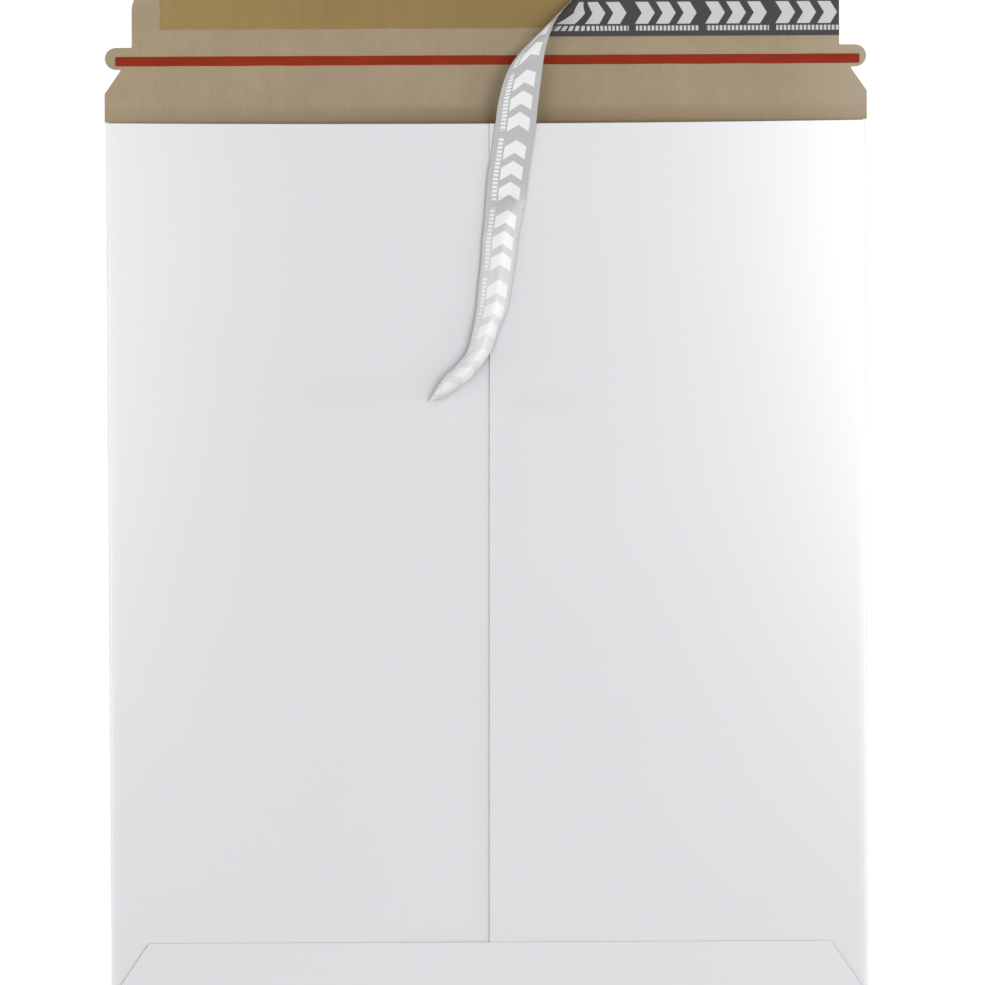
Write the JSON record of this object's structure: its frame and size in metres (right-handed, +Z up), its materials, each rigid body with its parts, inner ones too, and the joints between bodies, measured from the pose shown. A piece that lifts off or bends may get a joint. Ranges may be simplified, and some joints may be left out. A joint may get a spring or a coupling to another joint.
{
  "type": "photo mailer",
  "caption": "Flat rigid board pocket with a seam down the back, a fold-over closing flap with tear strip and adhesive, and a half-peeled release liner.",
  "frame": {"origin": "centre of the front panel's outer face, which lies on the table", "axes": "+X to the right across the mailer, +Y from the bottom fold to the open closing flap, +Z up, away from the table"},
  "size_m": [0.3238, 0.441, 0.0158],
  "materials": {
    "coated_white_board": "smooth white clay coating, faint sheen",
    "raw_board": "uncoated grey-brown board, matte",
    "tear_tape": "red film, slight sheen",
    "adhesive": "clear amber film over board",
    "liner_paper": "coated release paper, printed dark grey",
    "set_glue": "dry glue line, hidden"
  },
  "bodies": {
    "pocket": {"pocket": "coated_white_board", "seam_glue": "set_glue", "bottom_flap_glue": "set_glue"},
    "flap": {"closing_flap": "raw_board", "tear_strip": "tear_tape", "adhesive_band": "adhesive", "release_liner": "liner_paper"}
  },
  "joints": [
    {"name": "flap_fold", "type": "hinge", "parent": "pocket", "child": "flap", "pos_m": [0, 0.1966, 0.0053], "axis": [1, 0, 0], "range_deg": [0, 180], "deforming": ["release_liner"]}
  ]
}
